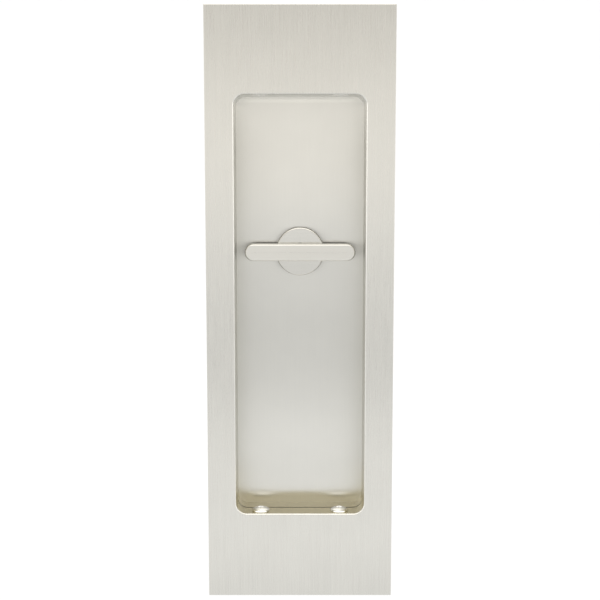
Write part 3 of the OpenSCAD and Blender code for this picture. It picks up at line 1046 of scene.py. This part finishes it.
@dataclass
class Fixings:
    """The screws and nuts behind the trim."""

    zinc: bpy.types.Material
    wood_head: float = 3.4 * MM
    wood_rim_share: float = 0.96
    wood_land_share: float = 0.08
    wood_point_share: float = 0.06
    wood_core: float = 1.4 * MM
    wood_crest: float = 1.9 * MM
    wood_pitch: float = 1.8 * MM
    wood_thread_share: float = 1.4
    wood_neck: float = 4.0 * MM
    wood_tip: float = 5.0 * MM
    wood_edge: float = 0.04 * MM
    nut_bore: float = 3.5 * MM
    nut_chamfer: float = 0.7 * MM
    nut_slope: float = 0.58
    nut_edge: float = 0.08 * MM
    pan_head: float = 2.8 * MM
    pan_wall: float = 0.35
    pan_edge: float = 0.06 * MM
    cross_width: float = 0.8 * MM
    cross_length: float = 3.0 * MM
    cross_depth: float = 1.0 * MM

    def wind_thread(self, length: float) -> bpy.types.Object:
        """Winds a thread about Z: a triangle turned and raised by a screw modifier.

        Args:
            length: How far the thread runs up from the origin.

        Returns:
            The thread as a closed solid.
        """
        turns = int(length / self.wood_pitch)
        size = (self.wood_crest - self.wood_core) / self.wood_thread_share
        bpy.ops.mesh.primitive_circle_add(vertices=3, radius=size, fill_type="NOTHING",
                                          location=(self.wood_crest - size, 0.0, 0.0),
                                          rotation=(math.pi / 2, math.pi / 2, 0.0))
        thread = settle(bpy.context.object, "thread")
        wind = thread.modifiers.new("wind", "SCREW")
        wind.axis = "Z"
        wind.screw_offset = self.wood_pitch
        wind.iterations = turns
        wind.steps = 24
        wind.render_steps = 24
        wind.use_smooth_shade = False
        make_active(thread)
        bpy.ops.object.modifier_apply(modifier=wind.name)
        bpy.ops.object.mode_set(mode="EDIT")
        bpy.ops.mesh.select_all(action="SELECT")
        bpy.ops.mesh.remove_doubles(threshold=NEAR / 10)
        bpy.ops.mesh.fill_holes(sides=4)
        bpy.ops.mesh.normals_make_consistent(inside=False)
        bpy.ops.object.mode_set(mode="OBJECT")
        return thread

    def build_wood_screws(self) -> bpy.types.Object:
        """Models one wood screw, point up, and copies it to the frame's four corners.

        Returns:
            The four screws.
        """
        low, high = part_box("frame_screws")
        length = high.y - low.y
        head = self.wood_head
        rings = [(head * self.wood_rim_share, 0.0), (head, head * self.wood_land_share),
                 (self.wood_crest, head - self.wood_crest), (self.wood_crest, self.wood_neck),
                 (self.wood_core, self.wood_neck + self.wood_core / 3),
                 (self.wood_core, length - self.wood_tip), (self.wood_core * self.wood_point_share, length)]
        screw = stack_rings("wood_screw", rings, 32)
        soften(screw, self.wood_edge)
        thread = self.wind_thread(length - self.wood_tip - self.wood_neck)
        thread.matrix_world = Matrix.Translation((0.0, 0.0, self.wood_neck))
        settle(thread, "thread")
        screw = join([screw, thread], "wood_screw")
        dress(screw, self.zinc)
        places = [Matrix.Translation((x, low.y, z)) @ self.point_in()
                  for x in (low.x + head, high.x - head) for z in (low.z + head, high.z - head)]
        return copy_to(screw, places, "frame_fixings")

    def point_in(self) -> Matrix:
        """The turn that lays a piece's Z axis along the depth of the door."""
        return Matrix.Rotation(-math.pi / 2, 4, "X")

    def build_nuts(self) -> bpy.types.Object:
        """Models one hexagon nut with chamfered corners and copies it onto both posts.

        Returns:
            The two nuts.
        """
        low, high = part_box("post_nuts")
        thick = high.y - low.y
        corner = (high.x - low.x) / 2
        flat = corner * math.cos(math.pi / 6)
        slope = self.nut_chamfer * self.nut_slope
        below = Vector((0.0, 0.0, -thick))
        inner = corner - self.nut_chamfer
        rings = [(inner, 0.0), (corner, slope), (corner, thick - slope), (inner, thick)]
        nut = stack_rings("nut", rings, 96)
        combine(nut, add_round("hexagon", (corner, corner), below, below * -2, 6), "INTERSECT")
        combine(nut, add_round("bore", (self.nut_bore, self.nut_bore), below, below * -2), "DIFFERENCE")
        soften(nut, self.nut_edge)
        dress(nut, self.zinc)
        lay = self.point_in() @ Matrix.Rotation(math.pi / 2, 4, "Z")
        places = [Matrix.Translation(((low.x + high.x) / 2, low.y, z)) @ lay
                  for z in (low.z + flat, high.z - flat)]
        return copy_to(nut, places, "trim_nuts")

    def build_cover_screws(self) -> bpy.types.Object:
        """Models one pan-head screw with a cross recess and copies it to the cover's four corners.

        Returns:
            The four screws.
        """
        low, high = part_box("cover_screws")
        head = self.pan_head
        seat_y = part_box("case_cover")[1].y
        rise = high.y - seat_y
        shank = head / 2
        top = Vector((0.0, 0.0, rise))
        steps = [math.radians(angle) for angle in (0, 20, 40, 55, 70, 80)]
        dome = [(head * math.cos(a), rise * (self.pan_wall + (1.0 - self.pan_wall) * math.sin(a)))
                for a in steps]
        tip = low.y - seat_y
        rings = [(shank * POINT_SHARE, tip), (shank, tip + shank / 3), (shank, 0.0), (head, 0.0)]
        screw = stack_rings("cover_screw", rings + dome)
        half = Vector((self.cross_length / 2, self.cross_width / 2, self.cross_depth))
        for size in (half, Vector((half.y, half.x, half.z))):
            combine(screw, add_block("slot", top - size, top + size), "DIFFERENCE")
        soften(screw, self.pan_edge)
        dress(screw, self.zinc)
        places = [Matrix.Translation((x, seat_y, z)) @ self.point_in()
                  for x in (low.x + head, high.x - head) for z in (low.z + head, high.z - head)]
        return copy_to(screw, places, "cover_fixings")

    def build(self) -> None:
        """Models the fixings and seats them."""
        seat(self.build_wood_screws(), Body.LOCKSET, "frame_screws")
        seat(self.build_nuts(), Body.LOCKSET, "post_nuts")
        seat(self.build_cover_screws(), Body.LOCKSET, "cover_screws")


@dataclass
class Studio:
    """A white paper sweep, soft lamps and the camera."""

    distance: float = 380.0 * MM
    tilt: float = 6.5
    camera_up: float = 51.7 * MM
    pixels: float = 1030.0
    frame_pixels: float = 600.0
    shift: float = -0.0225
    sensor: float = 36.0
    sweep_side: float = 3.0
    sweep_back: float = 1.6
    sweep_radius: float = 0.6
    paper_glow: float = 0.85
    glow_peak: float = 2.4
    glow_reach: float = 4.4
    floor_glow: tuple[tuple[float, float], ...] = (
        (0.0, 1.0), (0.07, 1.1), (0.13, 1.06), (0.22, 1.12), (0.34, 0.92), (0.54, 0.86), (0.9, 0.9),
        (1.3, 0.97), (2.5, 1.05), (4.4, 1.2))
    sky_glow: tuple[tuple[float, float], ...] = (
        (-90.0, 0.9), (-1.0, 1.24), (1.0, 1.34), (4.0, 1.36), (6.0, 1.04), (8.0, 0.72), (15.0, 0.64),
        (28.0, 0.8), (42.0, 1.9), (60.0, 2.3), (90.0, 2.4))
    floor_tint: Colour = (1.0, 1.0, 0.99)
    sky_tint: Colour = (1.0, 0.975, 0.93)
    paper_tone: Colour = (0.86, 0.86, 0.86)
    lamp_place: tuple[float, float, float] = (0.9, -0.5, 0.3)
    lamp_size: float = 0.8
    lamp_power: float = 1.2
    nearest: float = 0.01

    def place_camera(self) -> None:
        """Puts the camera before the plate, a little above its middle."""
        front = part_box("face_plate")[0].y
        bpy.ops.object.camera_add(location=(0.0, front - self.distance, self.camera_up),
                                  rotation=(math.radians(90.0 - self.tilt), 0.0, 0.0))
        camera = bpy.context.object
        camera.name = "camera"
        camera.data.sensor_width = self.sensor
        camera.data.lens = self.pixels * self.sensor / self.frame_pixels
        camera.data.shift_y = self.shift
        camera.data.clip_start = self.nearest
        bpy.context.scene.camera = camera

    def paper(self) -> bpy.types.Material:
        """Makes the sweep's paper: nearly white to the camera, and a graded glow where metal mirrors it.

        Returns:
            The material.
        """
        material = bpy.data.materials.new("studio_paper")
        material.use_nodes = True
        nodes = material.node_tree.nodes
        link = material.node_tree.links.new
        nodes.clear()
        rays = nodes.new("ShaderNodeLightPath")
        seen = nodes.new("ShaderNodeMath")
        seen.operation = "MULTIPLY"
        seen.inputs[1].default_value = self.paper_glow
        matt = nodes.new("ShaderNodeBsdfDiffuse")
        matt.inputs["Color"].default_value = (*self.paper_tone, 1.0)
        white = nodes.new("ShaderNodeEmission")
        front = nodes.new("ShaderNodeMixShader")
        place = nodes.new("ShaderNodeTexCoord")
        axes = nodes.new("ShaderNodeSeparateXYZ")
        reach = nodes.new("ShaderNodeMapRange")
        reach.inputs["From Min"].default_value = 0.0
        reach.inputs["From Max"].default_value = -self.glow_reach
        mirrored = nodes.new("ShaderNodeEmission")
        mirrored.inputs["Strength"].default_value = self.glow_peak
        mix = nodes.new("ShaderNodeMixShader")
        out = nodes.new("ShaderNodeOutputMaterial")
        ramp = fill_ramp(nodes.new("ShaderNodeValToRGB"),
                         [(reach_to / self.glow_reach, scaled(self.floor_tint, glow / self.glow_peak))
                          for reach_to, glow in self.floor_glow])
        link(rays.outputs["Is Camera Ray"], seen.inputs[0])
        link(seen.outputs["Value"], front.inputs["Fac"])
        link(matt.outputs["BSDF"], front.inputs[1])
        link(white.outputs["Emission"], front.inputs[2])
        link(place.outputs["Object"], axes.inputs["Vector"])
        link(axes.outputs["Y"], reach.inputs["Value"])
        link(reach.outputs["Result"], ramp.inputs["Fac"])
        link(ramp.outputs["Color"], mirrored.inputs["Color"])
        link(rays.outputs["Is Glossy Ray"], mix.inputs["Fac"])
        link(front.outputs["Shader"], mix.inputs[1])
        link(mirrored.outputs["Emission"], mix.inputs[2])
        link(mix.outputs["Shader"], out.inputs["Surface"])
        return material

    def lay_sweep(self) -> None:
        """Models the floor and the backdrop as one curved sheet under the object."""
        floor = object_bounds()[0].z
        side = self.sweep_side
        bpy.ops.mesh.primitive_plane_add(size=2 * side, location=(0.0, self.sweep_back - side, floor))
        sweep = settle(bpy.context.object, "studio_sweep")
        pick_edges(sweep, lambda a, b: near(a.y, self.sweep_back) and near(b.y, self.sweep_back))
        bpy.ops.mesh.extrude_region_move(TRANSFORM_OT_translate={"value": (0.0, 0.0, side)})
        bpy.ops.object.mode_set(mode="OBJECT")

        def on_fold(a: Vector, b: Vector) -> bool:
            """Whether an edge runs where the floor meets the backdrop."""
            return all(near(p.y, self.sweep_back) and near(p.z, floor) for p in (a, b))

        bevel_edges(sweep, on_fold, self.sweep_radius, 16)
        bpy.ops.object.shade_smooth()
        dress(sweep, self.paper())
        sweep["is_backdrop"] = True

    def hang_lamp(self, name: str, place: Vector, aim: Vector, size: float, power: float) -> None:
        """Hangs a square soft lamp.

        Args:
            name: The name of the lamp.
            place: Where it hangs.
            aim: The point that it faces.
            size: The length of its side.
            power: Its power in watts.
        """
        turn = (aim - place).to_track_quat("-Z", "Y").to_euler()
        bpy.ops.object.light_add(type="AREA", location=place, rotation=turn)
        lamp = bpy.context.object
        lamp.name = name
        lamp.data.size = size
        lamp.data.energy = power

    def light(self) -> None:
        """Lights the world by height, plain white to the camera, and hangs the lamps."""
        world = bpy.data.worlds.new("studio_air")
        world.use_nodes = True
        bpy.context.scene.world = world
        nodes = world.node_tree.nodes
        link = world.node_tree.links.new
        rays = nodes.new("ShaderNodeLightPath")
        place = nodes.new("ShaderNodeTexCoord")
        axes = nodes.new("ShaderNodeSeparateXYZ")
        height = nodes.new("ShaderNodeMapRange")
        height.inputs["From Min"].default_value = -1.0
        ramp = fill_ramp(nodes.new("ShaderNodeValToRGB"),
                         [((math.sin(math.radians(angle)) + 1.0) / 2.0,
                           scaled(self.sky_tint, glow / self.glow_peak)) for angle, glow in self.sky_glow])
        air = nodes["Background"]
        air.inputs["Strength"].default_value = self.glow_peak
        link(place.outputs["Generated"], axes.inputs["Vector"])
        link(axes.outputs["Z"], height.inputs["Value"])
        link(height.outputs["Result"], ramp.inputs["Fac"])
        link(ramp.outputs["Color"], air.inputs["Color"])
        white = nodes.new("ShaderNodeBackground")
        white.inputs["Color"].default_value = (*WHITE, 1.0)
        mix = nodes.new("ShaderNodeMixShader")
        link(rays.outputs["Is Camera Ray"], mix.inputs["Fac"])
        link(air.outputs["Background"], mix.inputs[1])
        link(white.outputs["Background"], mix.inputs[2])
        link(mix.outputs["Shader"], nodes["World Output"].inputs["Surface"])
        x, y, z = self.lamp_place
        for side in (-1.0, 1.0):
            self.hang_lamp("side_lamp", Vector((x * side, y, z)), Vector(), self.lamp_size, self.lamp_power)

    def build(self) -> None:
        """Sets the studio up."""
        bpy.context.scene.view_settings.view_transform = "Standard"
        self.place_camera()
        self.lay_sweep()
        self.light()


def main() -> None:
    """Loads the frame, dresses the lock and sets the studio up."""
    logging.basicConfig(level=logging.INFO, format="%(message)s")
    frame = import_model()
    satin = Brushed("satin_plate", (0.70, 0.69, 0.65), Grain.UPRIGHT, contrast=0.047, bump=0.08).make()
    # The tray carries painted shade, darker going up, and painted light along its top under the top wall.
    tray = Brushed("satin_tray_painted_light_and_shade", (0.698, 0.69, 0.652), Grain.UPRIGHT, roughness=0.28, contrast=0.01,
                   anisotropy=0.95, gloss_spread=0.005, bump=0.002, upward_painted_shade=0.1, painted_top_light=0.22).make()
    satin_turn = Brushed("satin_turn", (0.71, 0.70, 0.66), Grain.ACROSS, contrast=0.012, gloss_spread=0.02,
                         bump=0.015).make()
    fine_disc = Brushed("fine_disc", (0.64, 0.63, 0.594), Grain.ACROSS, roughness=0.13, contrast=0.015,
                        anisotropy=0.0, gloss_spread=0.02, bump=0.02).make()
    satin_forend = Brushed("satin_forend", (0.66, 0.65, 0.62), Grain.UPRIGHT, edge=0.25 * MM).make()
    # The top wall's pale colour is painted light.
    drawn = DrawnWall("drawn_wall_painted_light", low=(0.61, 0.56, 0.405), side=(0.6, 0.59, 0.54), high=(0.9, 0.89, 0.85),
                      start=60.0 * MM, stop=75.0 * MM).make()
    # A paler finish painted as a highlight on the mouth's side bevels.
    cut = Brushed("painted_highlight_edge", (0.86, 0.85, 0.81), Grain.UPRIGHT, contrast=0.02, gloss_spread=0.02,
                  bump=0.02).make()
    # A near-black finish, painted shade on the bar's back and the disc's sides.
    turn_painted_shade = Plated("turn_painted_shade", (0.1, 0.097, 0.094), roughness=0.5).make()
    bright = Plated("bright_screw", (0.82, 0.82, 0.8), roughness=0.16, contrast=0.04).make()
    zinc = Plated("zinc_steel", (0.6, 0.62, 0.64), edge=0.2 * MM).make()
    case = Plated("case_steel", (0.55, 0.56, 0.57), roughness=0.36, cloud=9.0 * MM, edge=0.3 * MM).make()
    hard = Plated("hard_steel", (0.5, 0.5, 0.5), roughness=0.28, contrast=0.08, edge=0.2 * MM).make()
    brass = Turned("bearing_brass", (0.72, 0.55, 0.25), edge=0.15 * MM).make()
    spring = Plated("spring_steel", (0.3, 0.3, 0.33), roughness=0.3).make()
    wear = {
        satin_forend: ("forend",),
        zinc: ("mount_frame", "trim_posts", "forend_screws", "case_pillars"),
        case: ("lock_case", "case_cover"),
        hard: ("spindle", "bar_pin", "hook_bolt", "hook_pin", "stop_pins", "spring_pins"),
        brass: ("turn_bush", "thrust_washer", "hook_spacers", "hub"),
        spring: ("spindle_clip", "detent_spring"),
    }
    for material, names in wear.items():
        for name in names:
            dress(frame["nodes"][name], material)
    FlushTrim(satin, tray, drawn, cut, bright).build()
    ThumbTurn(satin_turn, fine_disc, turn_painted_shade).build()
    Fixings(zinc).build()
    Studio().build()


if __name__ == "__main__":
    main()
